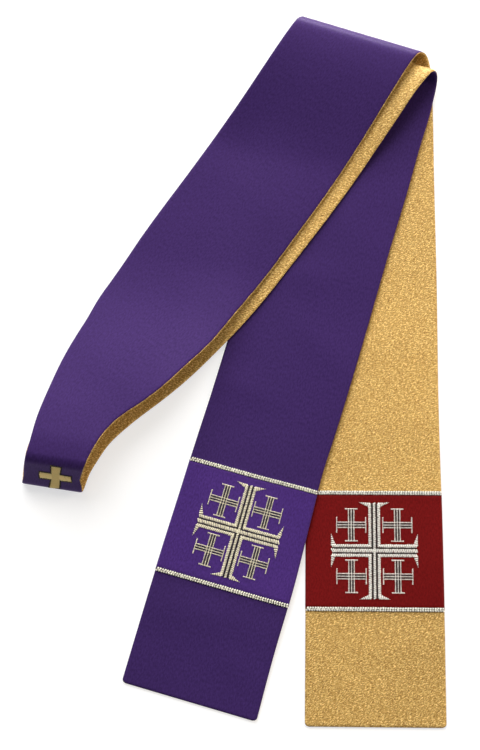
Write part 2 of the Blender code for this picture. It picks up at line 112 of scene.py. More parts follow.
# %% How far the edges stray
# along, left edge, right edge
OVER_EDGES = (
    (0.00, -0.0015, -0.0010), (0.03, 0.0025, 0.0000), (0.06, 0.0025, 0.0000), (0.09, 0.0030, 0.0015),
    (0.13, 0.0025, 0.0050), (0.155, 0.0020, 0.0045), (0.18, 0.0010, 0.0025), (0.215, 0.0025, 0.0030),
    (0.27, 0.0015, 0.0010), (0.33, 0.0015, 0.0015), (0.41, 0.0000, 0.0035), (0.45, 0.0010, 0.0025),
    (0.50, 0.0020, 0.0000), (0.54, 0.0020, -0.0030), (0.60, 0.0020, -0.0045), (0.62, 0.0015, -0.0010),
    (0.64, 0.0000, 0.0020), (0.67, 0.0000, 0.0020), (0.75, 0.0000, 0.0010), (0.85, 0.0000, 0.0005),
    (1.00, 0.0000, -0.0010), (1.10, -0.0005, 0.0000), (1.20, -0.0010, 0.0005), (1.32, -0.0015, 0.0005),
)
UNDER_EDGES = (
    (0.00, -0.0015, -0.0010), (0.02, 0.0005, 0.0020), (0.04, 0.0025, 0.0050), (0.06, 0.0025, 0.0040),
    (0.09, 0.0010, 0.0010), (0.12, 0.0000, -0.0005), (0.17, 0.0000, -0.0010), (0.25, 0.0000, 0.0015),
    (0.33, 0.0000, 0.0015), (0.41, 0.0000, 0.0020), (0.45, 0.0000, 0.0005), (0.50, 0.0000, -0.0025),
    (0.54, 0.0000, -0.0035), (0.575, 0.0000, -0.0030), (0.595, 0.0000, -0.0005), (0.615, 0.0005, 0.0040),
    (0.64, 0.0010, 0.0055), (0.70, 0.0015, 0.0045), (0.75, 0.0020, 0.0040), (0.80, 0.0025, 0.0025),
    (0.90, 0.0030, 0.0010), (0.96, 0.0025, 0.0000), (1.00, 0.0020, -0.0010), (1.06, 0.0005, -0.0030),
    (1.10, 0.0000, -0.0020), (1.17, -0.0010, 0.0000), (1.24, -0.0010, -0.0005), (1.32, -0.0005, 0.0010),
)
print("the over half's edges have", len(OVER_EDGES), "rows, the under half's", len(UNDER_EDGES))

# %% Smooth steps and curves through tables
def ease(t):
    """A smooth step from 0 to 1."""
    t = np.clip(t, 0.0, 1.0)
    return t * t * (3.0 - 2.0 * t)


def table_curve(x, table, column):
    """A smooth curve through one column of a table, against its first column."""
    rows = np.array(table)
    xs, ys = rows[:, 0], rows[:, column]
    slopes = np.gradient(ys, xs)
    k = np.clip(np.searchsorted(xs, x) - 1, 0, len(xs) - 2)
    step = xs[k + 1] - xs[k]
    t = (x - xs[k]) / step
    start = (1 + 2 * t) * (1 - t) ** 2 * ys[k] + t * (1 - t) ** 2 * step * slopes[k]
    end = t * t * (3 - 2 * t) * ys[k + 1] + t * t * (t - 1) * step * slopes[k + 1]
    return start + end


def running_sum(values, step):
    return np.concatenate([[0.0], np.cumsum(values * step)])


def turned(points, angle):
    c, s = np.cos(angle), np.sin(angle)
    x, y = points[..., 0], points[..., 1]
    return np.stack([x * c - y * s, x * s + y * c], -1)


print("0.06 m along, the stole is", round(float(table_curve(0.06, CUT, 1)), 4), "m wide")

# %% [markdown]
# The neck loop is the same bent line for every thread that runs along the stole.  From the centre
# back it goes up the front, over the top and away; the other way it goes down the front, under
# and away.  Adding up the line's short steps gives how far it has run and risen at each distance.

# %% The neck loop as a bent line
ARC_TOP = (FACE_LEAN + BACK_SLOPE) * BEND_TOP
ARC_BOTTOM = (math.pi - FACE_LEAN) * BEND_BOTTOM
STEP, STEPS = 0.0005, 3000


def levelled(distance):
    """0 where the back slope is whole, easing to 1 where it has come level."""
    return ease((distance - SLOPE_FROM) / (SLOPE_TO - SLOPE_FROM))


def both_ways(backward, forward):
    """Adds up steps away from the centre back, and joins the two lines into one."""
    return np.concatenate([-running_sum(backward, STEP)[::-1], running_sum(forward, STEP)[1:]])


middle = (np.arange(STEPS) + 0.5) * STEP
up = FACE_LEAN - (FACE_LEAN + BACK_SLOPE) * np.clip((middle - FACE_ABOVE) / ARC_TOP, 0, 1)
up = np.where(middle > FACE_ABOVE + ARC_TOP, -BACK_SLOPE * (1 - levelled(middle)), up)
down = FACE_LEAN + (math.pi - FACE_LEAN) * np.clip((middle - FACE_BELOW) / ARC_BOTTOM, 0, 1)
ends = np.arange(STEPS + 1) * STEP
LOOP_AT = np.concatenate([-ends[::-1], ends[1:]])
LOOP_RUN = both_ways(np.cos(down), np.cos(up))
LOOP_RISE = both_ways(np.sin(down), np.sin(up))
LOOP_RISE = LOOP_RISE - LOOP_RISE[0]
LOOP_RISE = LOOP_RISE - LOOP_RISE[-1] * levelled(LOOP_AT)
LOOP_WAY = np.array([math.sin(NECK_AXIS), math.cos(NECK_AXIS)])
print("the neck loop stands", round(float(LOOP_RISE.max()) * 1000, 1), "mm high")

# %% [markdown]
# ## Where each point of the cloth lies
# A point is named by two numbers: how far along the stole it is from the centre back, positive
# down the over half and negative down the under half, and where it is across, 0.5 at the left
# edge and -0.5 at the right.  The next cells lay out the flat cut of each half, roll it over the
# neck loop and then over its fold, and set its height by what it lies on.  Simulated cloth would
# find a drape of its own, and these folds were pressed in by hand, so they are worked out.

# %% One half of the stole
STATIONS = 1201


class Half:
    def __init__(self, length, fold, edges, over):
        self.length, self.over = length, over
        self.fold = dict(zip(FOLD_COLUMNS, fold))
        self.stations = np.linspace(0.0, length, STATIONS)
        self.widths = table_curve(self.stations, CUT, 1)
        turn = table_curve(self.stations, CUT, 2)
        given_way = ease((self.stations - GIVE_FROM) / (GIVE_TO - GIVE_FROM))
        self.heading = np.radians(turn + self.fold["give"] * given_way + 90.0 - GRAIN)
        self.strays = [table_curve(self.stations, edges, column) for column in (1, 2)]
        between = (self.heading[1:] + self.heading[:-1]) / 2.0
        self.spine_x = NECK[0] + running_sum(np.cos(between), self.stations[1])
        self.spine_y = NECK[1] + running_sum(np.sin(between), self.stations[1])
        lean = math.radians(self.fold["lean"])
        self.fold_point = np.array([self.fold["x"], self.fold["y"]])
        self.fold_along = np.array([math.cos(lean), -math.sin(lean)])
        self.fold_past = np.array([math.sin(lean), math.cos(lean)])

    def width(self, along):
        return np.interp(along, self.stations, self.widths)

    def flat(self, along, across):
        """The cut laid out flat, starting at the neck."""
        heading = np.interp(along, self.stations, self.heading)
        left, right = (np.interp(along, self.stations, stray) for stray in self.strays)
        reach = across * self.width(along)
        reach = reach - left * (0.5 + across) ** 3 - right * (0.5 - across) ** 3
        x = np.interp(along, self.stations, self.spine_x) - np.sin(heading) * reach
        y = np.interp(along, self.stations, self.spine_y) + np.cos(heading) * reach
        points = np.stack([x, y], -1)
        if self.over:
            return points
        swing = -math.radians(UNDER_SWING) * ease(along / SWING_IN)
        slip = UNDER_SLIP * ease(along / SLIP_IN)
        sideways = turned(np.array([-1.0, 0.0]), -math.radians(GRAIN))
        return NECK + turned(points - NECK, swing) + slip[..., None] * sideways


print("each half is cut at", STATIONS, "stations")

# %% Rolling the cut over the neck loop and the fold
def roll_over(half, along, across):
    """Where a point lies seen from above, and how far round the loop and the fold it is."""
    points = half.flat(along, across)
    reach = (points - NECK) @ LOOP_WAY
    signed = reach if half.over else -reach
    rise = np.interp(signed, LOOP_AT, LOOP_RISE)
    run = np.interp(signed, LOOP_AT, LOOP_RUN)
    points = points + LOOP_WAY * (run - reach)[..., None]
    past = (points - half.fold_point) @ half.fold_past
    beside = (points - half.fold_point) @ half.fold_along
    radius = half.fold["radius"]
    arc = math.pi * radius
    angle = np.clip(past / radius, 0.0, math.pi)
    ahead = np.where(past < arc, radius * np.sin(angle), arc - past)
    ahead = np.where(past < 0.0, past, ahead)
    spot = half.fold_point + half.fold_along * beside[..., None]
    return spot + half.fold_past * ahead[..., None], rise, reach, past, angle


def width_at(along):
    return np.where(along >= 0, over_half.width(np.abs(along)), under_half.width(np.abs(along)))


over_half = Half(OVER_LENGTH, OVER_FOLD, OVER_EDGES, True)
under_half = Half(UNDER_LENGTH, UNDER_FOLD, UNDER_EDGES, False)
print("the centre back is", round(float(width_at(0.0)) * 1000, 1), "mm wide")

# %% The edges that other layers climb
LOWER_RUN_SHARE = 0.7           # a point on the lower run, as a share of the half's length


def left_edge(half):
    """Two points on the left edge of a half's lower run."""
    along = np.array([half.length, LOWER_RUN_SHARE * half.length])
    return roll_over(half, along, np.array([0.5, 0.5]))[0]


def beyond(spot, edge):
    """1 over a lower run, easing to 0 on the table past its edge."""
    start, end = edge
    side = (end - start) / np.linalg.norm(end - start)
    inside = (spot[..., 0] - start[0]) * side[1] - (spot[..., 1] - start[1]) * side[0]
    return ease(1.0 + inside / RAMP)


OVER_EDGE, UNDER_EDGE = left_edge(over_half), left_edge(under_half)
print("the over half ends at", OVER_EDGE[0].round(3), "on its left")

# %% The height of the cloth, by what it lies on
def lay_down(half, along, across):
    """The middle of the cloth: its upper run, then its bend, then its lower run."""
    spot, rise, reach, past, angle = roll_over(half, along, across)
    radius = half.fold["radius"]
    low = REST if half.over else REST + OVER_TRIM
    high = low + 2.0 * radius
    under_layers = OVER_TRIM * beyond(spot, OVER_EDGE) + LAYER * beyond(spot, UNDER_EDGE)
    own_loft = AIR + (LAYER + AIR if half.over else 0.0)
    upper = REST + rise + (under_layers + own_loft) * ease(reach / SLIP_IN)
    upper = upper + (high - upper) * ease(1.0 + past / half.fold["rise"])
    lower = REST if half.over else REST + OVER_TRIM * beyond(spot, OVER_EDGE)
    lower = low + (lower - low) * ease((past - math.pi * radius) / SETTLE)
    bend = high - radius * (1.0 - np.cos(angle))
    height = np.where(past < 0.0, upper, np.where(past < math.pi * radius, bend, lower))
    if not half.over:
        curl = CURL * ease((-across - CURL_FROM) / (0.5 - CURL_FROM))
        height = height + curl * ease(1.0 + past / CURL_IN) * (1.0 + np.cos(angle)) / 2.0
    return np.concatenate([spot, height[..., None]], -1)


middles = lay_down(over_half, np.linspace(0.0, OVER_LENGTH, STATIONS), np.zeros(STATIONS))
print("the over half rises to", round(float(middles[:, 2].max()) * 1000, 1), "mm")

# %% The frame's origin is the middle of the footprint
LOWER_RUN_FROM, RUN_POINTS = 0.7, 900
low_corner = np.array(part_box("over_lower_gold")[0])
run_along = np.linspace(LOWER_RUN_FROM, OVER_LENGTH, RUN_POINTS)[:, None]
lower_run = lay_down(over_half, run_along, np.array([[0.5, -0.5]])).reshape(-1, 3)
PLACE = np.append((low_corner - lower_run.min(axis=0))[:2], 0.0)
print("the sizes are moved by", PLACE.round(5), "to meet the frame")

# %% [markdown]
# ## Soft creases
# Interlined cloth does not lie dead flat.  It keeps shallow waves from handling and from the box.
# Noise would spread them evenly, which cloth does not do, so they are placed one by one.  Each row
# below is one soft ridge or trough: where its middle is, which way it runs, how long and wide it
# is and how high.  They are low and fade out smoothly, so the layers stay clear of each other.

# %% Ridges and troughs, placed one by one
CREASE_COLUMNS = ("along", "across", "turn", "length", "width", "height")
CREASES = (
    (0.102, 0.00, 90, 0.110, 0.045, -0.0036),
    (0.13, 0.10, 78, 0.060, 0.018, 0.0005),
    (0.19, -0.22, 65, 0.045, 0.014, -0.0003),
    (0.25, 0.18, 100, 0.070, 0.024, 0.0005),
    (0.31, -0.34, 20, 0.060, 0.014, 0.0004),
    (0.37, 0.05, 82, 0.055, 0.022, 0.0006),
    (0.44, -0.30, 115, 0.050, 0.013, -0.0003),
    (0.47, 0.30, 30, 0.080, 0.020, 0.0005),
    (0.54, -0.05, 95, 0.060, 0.024, 0.0006),
    (0.80, -0.34, 15, 0.050, 0.014, 0.0006),
    (0.93, -0.30, 100, 0.045, 0.016, 0.0007),
    (1.01, -0.28, 62, 0.040, 0.012, 0.0005),
    (1.23, -0.15, 84, 0.055, 0.020, 0.0009),
    (1.27, 0.22, 110, 0.040, 0.013, 0.0006),
    (-0.76, -0.20, 12, 0.070, 0.016, 0.0007),
    (-0.86, 0.10, 98, 0.060, 0.018, 0.0009),
    (-0.93, -0.25, 60, 0.055, 0.013, 0.0006),
    (-0.99, 0.28, 84, 0.045, 0.015, 0.0007),
    (-1.22, 0.10, 92, 0.060, 0.020, 0.0010),
    (-1.26, -0.28, 70, 0.045, 0.014, 0.0006),
)
USUAL_WIDTH = 0.13          # a crease's place across is a share of this


def crease_height(along, across):
    height = np.zeros_like(along)
    reach = across * width_at(along)
    for crease in CREASES:
        row = dict(zip(CREASE_COLUMNS, crease))
        turn = math.radians(row["turn"])
        a = along - row["along"]
        b = reach - row["across"] * USUAL_WIDTH
        lengthwise = (a * math.cos(turn) + b * math.sin(turn)) / row["length"]
        crosswise = (b * math.cos(turn) - a * math.sin(turn)) / row["width"]
        height = height + row["height"] * np.exp(-lengthwise ** 2 - crosswise ** 2)
    return height


print(len(CREASES), "soft creases")

# %% [markdown]
# ## The draped surface
# The middle of the cloth is the folded cut plus its creases.  Everything else is measured from
# it: a face is a shell a millimetre above it, and thread lies above the face.  Pieces bent one by
# one would drift apart at the folds; measured from one surface, they cannot.

# %% The middle surface and its purple side
SMALL_ALONG, SMALL_ACROSS = 0.0004, 0.004       # short steps that tell which way the cloth faces


def middle_surface(along, across):
    along, across = np.broadcast_arrays(np.asarray(along, float), np.asarray(across, float))
    over = lay_down(over_half, np.abs(along), across)
    under = lay_down(under_half, np.abs(along), across)
    points = np.where(along[..., None] >= 0.0, over, under) + PLACE
    points[..., 2] += crease_height(along, across)
    return points


def purple_side(along, across):
    a, b = SMALL_ALONG, SMALL_ACROSS
    lengthwise = middle_surface(along + a, across) - middle_surface(along - a, across)
    crosswise = middle_surface(along, across + b) - middle_surface(along, across - b)
    normal = np.cross(lengthwise, crosswise)
    return normal / np.linalg.norm(normal, axis=-1, keepdims=True)


def above(along, across, height):
    """Points at a signed height over the middle surface, positive on the purple side."""
    lift = purple_side(along, across) * np.asarray(height)[..., None]
    return middle_surface(along, across) + lift


print("the centre back lies at", middle_surface(0.0, 0.0).round(4))

# %% [markdown]
# ## Sewn faces
# Each face is cut a seam wider than the stole, laid on the other face right sides together, sewn
# round and turned out.  That gives a soft rolled edge: the face curves down to the seam over the
# last few millimetres, the corners come out slightly round, and the thread draws small puckers.
# A plane given thickness would have square edges instead.  So a face is built as rows across the
# cloth, each row a closed loop: over the outside, round the edge and back along the inside.

# %% Rows along the cloth, closer where it bends
END_STEP, FOLD_STEP, NECK_STEP, RUN_STEP = 0.0006, 0.0016, 0.0012, 0.005
END_SPAN = 0.006
ROW_MARKS = (
    # from, step from row to row
    (-UNDER_LENGTH, END_STEP),
    (-UNDER_LENGTH + END_SPAN, RUN_STEP),
    (-0.735, FOLD_STEP),
    (-0.60, RUN_STEP),
    (-0.06, NECK_STEP),
    (0.06, RUN_STEP),
    (0.585, FOLD_STEP),
    (0.735, RUN_STEP),
    (OVER_LENGTH - END_SPAN, END_STEP),
    (OVER_LENGTH, 0.0),
)
cloth_rows = []
for (start, step), (end, _) in zip(ROW_MARKS[:-1], ROW_MARKS[1:]):
    count = max(2, round((end - start) / step))
    cloth_rows.extend(np.linspace(start, end, count + 1)[:-1])
cloth_rows = np.array(cloth_rows + [OVER_LENGTH])
print(len(cloth_rows), "rows along each face")

# %% Sizes of a sewn edge
EDGE_ROLL = 0.0028          # a face rises from its seam in this distance
CORNER = 0.0042             # radius of the four corners
FACE_HEIGHT = CLOTH / 2.0   # outside of a face, from the middle of the cloth
INSIDE = 0.00012            # inside of a face, from the middle of the cloth
SEAM_WALL = 0.00003         # thickness left at a seam
LEAST_WALL = 0.00002        # and the least that the inside leaves anywhere
EDGE_POINTS = 6             # points round each edge
FACE_COLUMNS = 30           # columns between the edges
PIPING_TO, PIPING_FADE = 0.665, 0.03    # gold rolls out past the purple from the neck to here
PIPING_DROP, PIPING_WIDTH = 0.0009, 0.0013      # and bends down so far, in this width
PUCKER_REACH = 0.006        # puckers reach this far in from an edge
PUCKER, PUCKER_WAVES = 0.00009, 310.0       # their height, and waves in radians a metre
PUCKER_SWELL = 47.0                         # these swell and fade along the edge
FINE_PUCKER, FINE_WAVES = 0.00005, 505.0


def roll(distance, reach):
    """0 at a sewn edge, rising round to 1 at a given distance from it."""
    t = np.clip(distance / reach, 0.0, 1.0)
    return np.sqrt(np.clip(1.0 - (1.0 - t) ** 2, 0.0, 1.0))


def puckers(along):
    swell = np.sin(along * PUCKER_SWELL + 1.0)
    fine = FINE_PUCKER * np.sin(along * FINE_WAVES + 0.7)
    return PUCKER * np.sin(along * PUCKER_WAVES) * swell + fine


print("halfway in, an edge has rolled up", round(float(roll(0.5, 1.0)) * 100), "% of its height")

# %% The outline and the height of each row
def row_outlines(half_width, piping):
    """Round each row: distances from the middle, and shares of the height, -1 for inside."""
    edge = EDGE_ROLL * (1.0 - np.cos(np.linspace(0.0, math.pi / 2.0, EDGE_POINTS + 1)[:-1]))
    whole, flat_half = np.ones_like(half_width), half_width - EDGE_ROLL
    left = [half_width - d for d in edge]
    right = [d - half_width - piping for d in edge[::-1]]
    outside = [flat_half * t - piping * (0.5 - t / 2.0)
               for t in np.linspace(1.0, -1.0, FACE_COLUMNS + 1)]
    rising = [whole * roll(d, EDGE_ROLL) for d in edge]
    shares = rising + [whole] * len(outside) + rising[::-1] + [-whole] * len(outside)
    return np.array(left + outside + right + outside[::-1]).T, np.array(shares).T


def row_heights(rows, share, lift):
    """Heights over the middle of the cloth, rolled down to the seams at both ends too."""
    end_roll = roll(rows - rows[0], EDGE_ROLL) * roll(rows[-1] - rows, EDGE_ROLL)
    top = INSIDE + SEAM_WALL + (FACE_HEIGHT + lift - INSIDE) * end_roll[:, None]
    outside = INSIDE + (top - INSIDE) * np.clip(share, 0, 1)
    inside = np.minimum(INSIDE + lift * 0.5, top - LEAST_WALL)
    return np.where(share < 0, inside, outside)


# %% From rows of points to a closed mesh
def new_piece(name, mesh):
    piece = bpy.data.objects.new(name, mesh)
    bpy.context.scene.collection.objects.link(piece)
    print(name, "has", len(mesh.polygons), "faces")
    return piece


def closed_rows(name, points):
    """A mesh of closed loops of points, one after another, with a cap at each end."""
    count, around = points.shape[:2]
    index = np.arange(count * around).reshape(count, around)
    following = np.roll(index, -1, axis=1)
    quads = np.stack([index[:-1], following[:-1], following[1:], index[1:]], -1)
    caps = [list(index[0][::-1]), list(index[-1])]
    mesh = bpy.data.meshes.new(name)
    mesh.from_pydata(points.reshape(-1, 3).tolist(), [], quads.reshape(-1, 4).tolist() + caps)
    return mesh


def lay_out(mesh, sideways, along):
    """A UV map in metres sideways and along, so that a weave follows the cloth."""
    layer = mesh.uv_layers.new(name="cloth")
    corners = np.zeros(len(mesh.loops), dtype=np.int32)
    mesh.loops.foreach_get("vertex_index", corners)
    uv = np.stack([sideways.reshape(-1), along.reshape(-1)], -1)[corners]
    layer.data.foreach_set("uv", uv.astype(np.float32).ravel())


def close_up(mesh):
    """Splits the caps into triangles and turns every face outwards."""
    work = bmesh.new()
    work.from_mesh(mesh)
    bmesh.ops.triangulate(work, faces=[face for face in work.faces if len(face.verts) > 4])
    bmesh.ops.recalc_face_normals(work, faces=work.faces)
    work.to_mesh(mesh)
    work.free()
    mesh.shade_smooth()


# %% The two faces, each in one length
GOLD_PIPING = 0.0008


def sewn_face(name, rows, side, lift=0.0, piping=0.0):
    """A face on one side, 1 for purple and -1 for gold, lifted where it lies on another."""
    piped = ease((rows + PIPING_FADE) / PIPING_FADE) * ease((PIPING_TO - rows) / PIPING_FADE)
    to_end = np.where(rows >= 0, OVER_LENGTH - rows, UNDER_LENGTH + rows)
    half_width = width_at(rows) / 2.0 + lift * 0.5 - CORNER * (1.0 - roll(to_end, CORNER))
    x, share = row_outlines(half_width, piping * piped)
    height = row_heights(rows, share, lift)
    if piping:
        from_right = x + (half_width + piping * piped)[:, None]
        height = height - PIPING_DROP * piped[:, None] * (1.0 - ease(from_right / PIPING_WIDTH))
    near_edge = np.exp(-((half_width[:, None] - np.abs(x)) / PUCKER_REACH) ** 2)
    height = height + puckers(rows)[:, None] * near_edge
    along = np.repeat(rows[:, None], x.shape[1], 1)
    across = x / width_at(rows)[:, None]
    mesh = closed_rows(name, above(along, across, side * height))
    lay_out(mesh, x, along)
    close_up(mesh)
    return new_piece(name, mesh)


purple_face = sewn_face("purple_face", cloth_rows, 1.0)
gold_face = sewn_face("gold_face", cloth_rows, -1.0, piping=GOLD_PIPING)

# %% [markdown]
# ## Bands
# Each band is a strip of satin laid across the end of the stole before it is sewn up, so its
# ends go into the side seams.  Colour alone would give it no edge of its own, so it is built as a
# short length of face, lifted by its own thickness.

# %% The red band and the violet band
OVER_TRIMS = (0.1130, 0.2284)       # the braids' middles, up from the end of each half
UNDER_TRIMS = (0.1148, 0.2302)
TRIM_WIDTH = 0.0043
BAND_LIFT = 0.0005
BAND_ROWS = 40


def band_rows(half, trims):
    near = half.length - trims[1] - TRIM_WIDTH * 0.1
    far = half.length - trims[0] + TRIM_WIDTH * 0.1
    rows = np.linspace(near, far, BAND_ROWS)
    return rows if half.over else -rows[::-1]


red_band = sewn_face("red_band_cloth", band_rows(over_half, OVER_TRIMS), -1.0, BAND_LIFT)
violet_band = sewn_face("violet_band_cloth", band_rows(under_half, UNDER_TRIMS), 1.0, BAND_LIFT)

# %% [markdown]
# ## A thread tree in Geometry Nodes
# Embroidery and braid are the same thing many times over: a short arched thread laid across a
# line.  Thousands of copies made one by one would be slow to change, so one node tree lays them
# all.  It takes guide curves drawn flat, whose radius is half the length of the thread at that
# point and whose tilt is its slant, walks along them at a given pitch, and lays one arched thread
# at each step.  A small random turn keeps it from looking ruled.

# %% Small helpers for node trees
def fill(tree, socket, value):
    """Sets an input, or links it where the value is another node's output."""
    if isinstance(value, bpy.types.NodeSocket):
        tree.links.new(value, socket)
    else:
        socket.default_value = value


def add_node(tree, kind, settings=None, **sockets):
    """A node with its settings and inputs; an input is named, or numbered as in _0."""
    node = tree.nodes.new(kind)
    for key, value in (settings or {}).items():
        setattr(node, key, value)
    for key, value in sockets.items():
        which = int(key[1:]) if key.startswith("_") else key.replace("_", " ")
        fill(tree, node.inputs[which], value)
    return node


def maths(tree, operation, first, second):
    node = add_node(tree, "ShaderNodeMath", {"operation": operation}, _0=first, _1=second)
    return node.outputs[0]


def random_between(tree, low, high, seed):
    node = add_node(tree, "FunctionNodeRandomValue", {"data_type": "FLOAT"}, _2=low, _3=high, Seed=seed)
    return node.outputs[1]


def new_tree(name, kind, inputs, outputs):
    """A node group with its sockets, each given as a title, a kind and a value."""
    tree = bpy.data.node_groups.new(name, kind)
    for way, sockets in (("INPUT", inputs), ("OUTPUT", outputs)):
        for title, what, value in sockets:
            socket = tree.interface.new_socket(title, in_out=way, socket_type="NodeSocket" + what)
            if value is not None:
                socket.default_value = value
    given = tree.nodes.new("NodeGroupInput").outputs
    return tree, given, tree.nodes.new("NodeGroupOutput").inputs


# %% The thread tree: its inputs, and one arched thread
laying, given, result = new_tree(
    "laid threads", "GeometryNodeTree",
    (("Geometry", "Geometry", None), ("Pitch", "Float", 0.0008), ("Thread", "Float", 0.0003),
     ("Arch", "Float", 0.0006), ("Unevenness", "Float", 0.1), ("Length play", "Float", 0.1),
     ("Darkest", "Float", 0.8), ("Tone", "Float", 1.0), ("Seed", "Int", 1),
     ("Material", "Material", None)),
    (("Geometry", "Geometry", None),))
walk = add_node(laying, "GeometryNodeResampleCurve", {"mode": "LENGTH"},
                Curve=given["Geometry"], Length=given["Pitch"])
arch_top = add_node(laying, "ShaderNodeCombineXYZ", Z=given["Arch"])
arc = add_node(laying, "GeometryNodeCurveQuadraticBezier", Resolution=4,
               Start=(-1, 0, 0), Middle=arch_top.outputs[0], End=(1, 0, 0))
ring = add_node(laying, "GeometryNodeCurvePrimitiveCircle", Resolution=4, Radius=given["Thread"])
thread = add_node(laying, "GeometryNodeCurveToMesh",
                  Curve=arc.outputs[0], Profile_Curve=ring.outputs[0], Fill_Caps=True)
print("the thread tree takes", ", ".join(title for title in given.keys() if title))

# %% The thread tree: which way each thread turns
tangent = add_node(laying, "GeometryNodeInputTangent")
facing = add_node(laying, "FunctionNodeAlignRotationToVector", {"axis": "Y", "pivot_axis": "Z"},
                  Vector=tangent.outputs[0])
least = maths(laying, "MULTIPLY", given["Unevenness"], -1.0)
wobble = random_between(laying, least, given["Unevenness"], given["Seed"])
tilt = add_node(laying, "GeometryNodeInputCurveTilt")
slant = maths(laying, "ADD", tilt.outputs[0], wobble)
slant_xyz = add_node(laying, "ShaderNodeCombineXYZ", Z=slant)
slant_turn = add_node(laying, "FunctionNodeEulerToRotation", Euler=slant_xyz.outputs[0])
turning = add_node(laying, "FunctionNodeRotateRotation", {"rotation_space": "LOCAL"},
                   Rotation=facing.outputs[0], Rotate_By=slant_turn.outputs[0])
print("turning takes", len(turning.inputs), "rotations: the guide's, and the thread's own slant")

# %% The thread tree: laying, toning and finishing
half_length = add_node(laying, "GeometryNodeInputRadius")
shorter = maths(laying, "SUBTRACT", 1.0, given["Length play"])
longer = maths(laying, "ADD", 1.0, given["Length play"])
play = random_between(laying, shorter, longer, given["Seed"])
played = maths(laying, "MULTIPLY", half_length.outputs[0], play)
size = add_node(laying, "ShaderNodeCombineXYZ", X=played, Y=1.0, Z=1.0)
laid = add_node(laying, "GeometryNodeInstanceOnPoints", Points=walk.outputs[0],
                Instance=thread.outputs[0], Rotation=turning.outputs[0], Scale=size.outputs[0])
tint = random_between(laying, given["Darkest"], given["Tone"], given["Seed"])
toned = add_node(laying, "GeometryNodeStoreNamedAttribute",
                 {"data_type": "FLOAT", "domain": "INSTANCE"},
                 Geometry=laid.outputs[0], Name="tone", Value=tint)
real = add_node(laying, "GeometryNodeRealizeInstances", Geometry=toned.outputs[0])
coloured = add_node(laying, "GeometryNodeSetMaterial",
                    Geometry=real.outputs[0], Material=given["Material"])
laying.links.new(coloured.outputs[0], result["Geometry"])
print("the thread tree has", len(laying.nodes), "nodes")

# %% [markdown]
# Each kind of work is one row of sizes for that tree: the pitch from thread to thread, a thread's
# radius and how high it arches, in metres; how far it turns at random, in radians; how much its
# length plays; and its darkest and lightest tone, from 0 for dark thread to 1 for bright.

# %% The kinds of stitching
STITCH_COLUMNS = ("Pitch", "Thread", "Arch", "Unevenness", "Length play", "Darkest", "Tone")
STITCHES = {
    "satin stitch": (0.0018, 0.00064, 0.0006, 0.16, 0.16, 0.90, 1.0),
    "padding": (0.0013, 0.00045, 0.0001, 0.05, 0.0, 0.28, 0.58),
    "dark line": (0.0014, 0.00060, 0.0006, 0.30, 0.3, 0.0, 0.06),
    "fine stitch": (0.0012, 0.00046, 0.0006, 0.16, 0.16, 0.90, 1.0),
    "fine dark line": (0.0014, 0.00060, 0.0004, 0.30, 0.3, 0.0, 0.06),
    "close stitch": (0.0009, 0.00048, 0.0006, 0.05, 0.07, 0.95, 1.0),
    "dark rim": (0.0009, 0.00045, 0.0006, 0.3, 0.1, 0.0, 0.1),
    "plait": (0.0024, 0.00104, 0.0002, 0.22, 0.15, 0.82, 1.0),
    # The next two rows are near-black painted shade: the braid's dark middle and gaps, and flecks where
    # it opens.
    "painted shade": (0.0009, 0.00045, 0.0, 0.05, 0.0, 0.0, 0.1),
    "shade fleck": (0.0045, 0.00060, 0.0024, 0.5, 0.4, 0.0, 0.12),
}
print(len(STITCHES), "kinds of stitching:", ", ".join(STITCHES))

# %% Running the tree on flat guides
def socket_id(tree, title):
    return next(item.identifier for item in tree.interface.items_tree
                if item.item_type == "SOCKET" and item.in_out == "INPUT" and item.name == title)


def lay_threads(guides, material, kind, seed):
    """Flat threads for a list of guides, each a list of (x, y, half length, slant in degrees)."""
    curve = bpy.data.curves.new("guides", "CURVE")
    curve.dimensions = "3D"
    for guide in guides:
        spline = curve.splines.new("POLY")
        spline.points.add(len(guide) - 1)
        for point, (x, y, half, slope) in zip(spline.points, guide):
            point.co = (x, y, 0.0, 1.0)
            point.radius = half
            point.tilt = math.radians(slope)
    holder = bpy.data.objects.new("guides", curve)
    bpy.context.scene.collection.objects.link(holder)
    modifier = holder.modifiers.new("threads", "NODES")
    modifier.node_group = laying
    values = dict(zip(STITCH_COLUMNS, STITCHES[kind]), Seed=seed, Material=material)
    for title, value in values.items():
        modifier[socket_id(laying, title)] = value
    evaluated = holder.evaluated_get(bpy.context.evaluated_depsgraph_get())
    mesh = bpy.data.meshes.new_from_object(evaluated)
    bpy.data.objects.remove(holder)
    return mesh


# %% Wrapping flat work onto the cloth
def sew_on(name, meshes, half, centre, side, base, shift=(0.0, 0.0), turn=0.0):
    """Joins flat meshes and lays them on a face: x to the right, y toward the fold or the top."""
    work = bmesh.new()
    for mesh in meshes:
        work.from_mesh(mesh)
    bmesh.ops.recalc_face_normals(work, faces=work.faces)
    points = np.array([vertex.co[:] for vertex in work.verts])
    plan = turned(points[:, :2], turn) + np.array(shift)
    along = (1.0 if half.over else -1.0) * (centre - plan[:, 1])
    across = -plan[:, 0] / width_at(along)
    placed = above(along, across, side * (base + points[:, 2]))
    for vertex, spot in zip(work.verts, placed):
        vertex.co = spot
    bmesh.ops.recalc_face_normals(work, faces=work.faces)
    joined = bpy.data.meshes.new(name)
    work.to_mesh(joined)
    work.free()
    joined.shade_smooth()
    return new_piece(name, joined)


# %% [markdown]
# ## Finishes
# Satin is smooth long threads with a soft sheen; lame is a thin weave whose flat metal threads
# catch the light at random; braid and embroidery thread are metal wound on a core.  Three effects
# are shared, so each is a node group that is built once: slow clouding over a hand's breadth, the
# fine weave, and the glitter of metal threads.

# %% The slow clouding of cloth
NOISE_LOW, NOISE_HIGH = 0.3, 0.7        # nearly all of a noise lies between these


